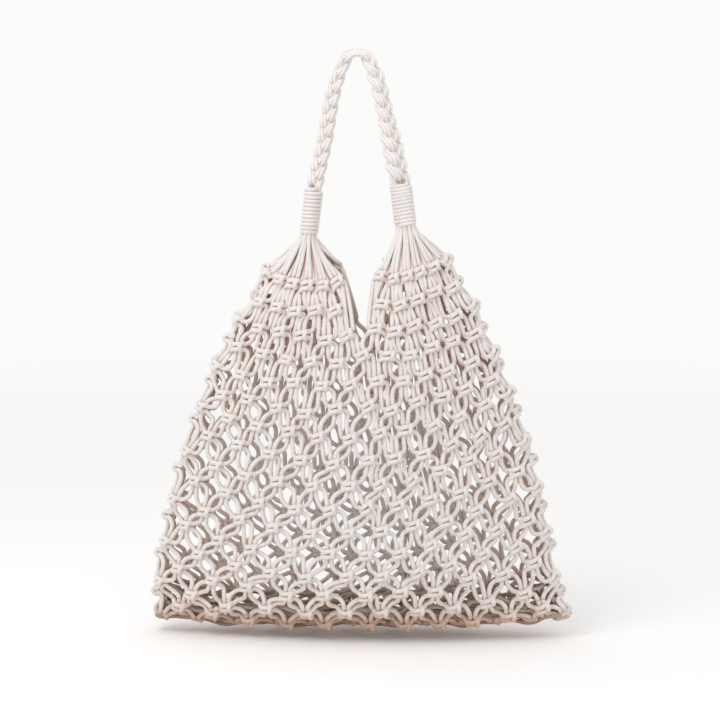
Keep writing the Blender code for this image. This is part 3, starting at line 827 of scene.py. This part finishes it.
def strand_lines(which, stations=170):
    """Lines of one strand's cords. The strand's middle swings across the plait as a sine and
    through its depth as a sine of twice the rate, a third of a period behind the strand before
    it, and each leg counts its own crossings from the bend. The cords lie in three layers square
    to the way that the strand runs, and close up where it turns at the edge of the plait."""
    line = handle_line(stations)
    along = np.concatenate([[0], np.cumsum(np.linalg.norm(np.diff(line, axis=0), axis=1))])
    total = along[-1]
    straight = strand_seat + strand_rise
    top = np.argmax(line[:, 2])
    leg = np.where(along < along[top], along[top], total - along[top]) - straight
    down_leg = np.clip(np.abs(along - along[top]) / leg, 0, 1)
    level = np.hypot(down_leg, braid_start) - braid_start
    level = level / (np.hypot(1, braid_start) - braid_start)
    crossings = np.round(leg / (braid_period / 6))
    phase = np.pi / 3 * crossings * level + 2 * np.pi * which / 3
    tangent = unit(np.gradient(line, axis=0))
    turn = right_turn * ease((along / total - turn_from) / turn_over)
    toward_back = np.array([0.0, 1.0, 0.0])
    across = np.cross(toward_back, tangent)
    wide = across * np.cos(turn)[:, None] - toward_back * np.sin(turn)[:, None]
    deep = np.cross(tangent, wide)
    above = np.minimum(along, total - along) - strand_seat
    drawn = 1 - foot_squeeze * (1 - ease((above + 0.004) / strand_lead))
    near_bend = np.exp(-(((along - along[top]) / pinch_length) ** 2))
    drawn = drawn * (1 - (1 - bend_pinch) * near_bend)
    swell = np.where(along < along[top], left_swell, right_swell)
    drawn = drawn * (1 + swell * ease((down_leg - swell_from) / swell_over))
    sway = wide * (swing_out * drawn * np.sin(phase))[:, None]
    centre = line + sway + deep * (swing_deep * drawn * np.sin(2 * phase))[:, None]
    run = unit(np.gradient(centre, axis=0))
    flat = unit(wide - run * np.sum(wide * run, -1, keepdims=True))
    out = np.cross(flat, run)
    place = np.array(
        [
            (k - (count - 1) / 2, layer - 1)
            for layer, count in enumerate(strand_layers)
            for k in range(count)
        ]
    )
    pitch = strand_cord * cord_pitch * drawn
    spread = pitch * (1 - edge_squeeze * np.sin(phase) ** 2)
    stack = pitch * layer_pitch
    lines = (
        centre
        + flat * (place[:, :1, None] * spread[:, None])
        + out * (place[:, 1:, None] * stack[:, None])
    )
    return lines, strand_cord / 2 * np.maximum(drawn, least_girth)


for which in range(3):
    strand = cord_mesh(f"plaited_strand_{which + 1}", [strand_lines(which)])
    strand.data.materials.append(braid_cotton)
    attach(strand, "root")
    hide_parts(f"handle_strand_{which + 1}")

# Floor, light and camera. A plain pale floor lies just under the hanging bag, a large soft light
# stands high at the front left, and the camera looks slightly down from the photo's angle.
floor_drop = 0.010
floor_size = 60
floor_colour = (0.92, 0.915, 0.91)
fade_from = 0.5
fade_to = 3.5
world_colour = (0.97, 0.965, 0.96)
floor_mesh = bpy.data.meshes.new("floor")
corner = floor_size / 2
floor_height = cad_low.z - floor_drop
floor_mesh.from_pydata(
    [(x * corner, y * corner, floor_height) for x, y in ((-1, -1), (1, -1), (1, 1), (-1, 1))],
    [],
    [(0, 1, 2, 3)],
)
floor = bpy.data.objects.new("floor", floor_mesh)
bpy.context.scene.collection.objects.link(floor)
floor_paint = bpy.data.materials.new("floor_paint")
floor_paint.use_nodes = True
floor_shader = floor_paint.node_tree.nodes["Principled BSDF"]
floor_shader.inputs["Roughness"].default_value = 0.95
floor_shader.inputs["Specular IOR Level"].default_value = 0.0
floor_shader.inputs["Emission Strength"].default_value = 1.0
floor_start = Wire(floor_paint.node_tree)
floor_place = floor_start.node("ShaderNodeTexCoord", None, None, "Object")
floor_far = floor_start.node(
    "ShaderNodeVectorMath", {"operation": "LENGTH"}, {0: floor_place}, "Value"
)
floor_fade = floor_start.node(
    "ShaderNodeMapRange",
    {"interpolation_type": "SMOOTHSTEP"},
    {"Value": floor_far, "From Min": fade_from, "From Max": fade_to},
)
for socket, near_colour, far_colour in (
    ("Base Color", (*floor_colour, 1), (0, 0, 0, 1)),
    ("Emission Color", (0, 0, 0, 1), (*world_colour, 1)),
):
    tone = floor_start.node(
        "ShaderNodeMix", {"data_type": "RGBA"}, {0: floor_fade, 6: near_colour, 7: far_colour}, 2
    )
    floor_paint.node_tree.links.new(tone.socket, floor_shader.inputs[socket])
floor_mesh.materials.append(floor_paint)
floor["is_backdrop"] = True

world = bpy.data.worlds.new("studio")
world.use_nodes = True
world.node_tree.nodes["Background"].inputs["Color"].default_value = (*world_colour, 1)
world.node_tree.nodes["Background"].inputs["Strength"].default_value = 1.0
bpy.context.scene.world = world


def soft_light(name, place, target, size, power):
    """A square area light at a place, turned to a target."""
    light = bpy.data.lights.new(name, "AREA")
    light.shape = "SQUARE"
    light.size = size
    light.energy = power
    lamp = bpy.data.objects.new(name, light)
    lamp.location = place
    lamp.rotation_euler = (Vector(target) - Vector(place)).to_track_quat("-Z", "Y").to_euler()
    bpy.context.scene.collection.objects.link(lamp)


bag_middle = (0.0027, 0.0, cad_low.z + 0.240)
key_place = (-0.4, -0.6, 0.5)
key_size = 0.6
key_power = 3.6
soft_light("key", key_place, bag_middle, key_size, key_power)

camera_distance = 1.700
camera_turn = np.radians(4)
camera_rise = np.radians(5)
focal_pixels = 1888.9
frame_pixels = 720
sensor_width = 36
camera = bpy.data.objects.new("camera", bpy.data.cameras.new("camera"))
camera.data.sensor_width = sensor_width
camera.data.lens = sensor_width * focal_pixels / frame_pixels
back = Vector(
    (
        np.sin(camera_turn) * np.cos(camera_rise),
        -np.cos(camera_turn) * np.cos(camera_rise),
        np.sin(camera_rise),
    )
)
camera.location = Vector(bag_middle) + back * camera_distance
camera.rotation_euler = back.to_track_quat("Z", "Y").to_euler()
camera.data.clip_end = 200
bpy.context.scene.collection.objects.link(camera)
bpy.context.scene.camera = camera
bpy.context.scene.view_settings.view_transform = "Standard"

low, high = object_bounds()
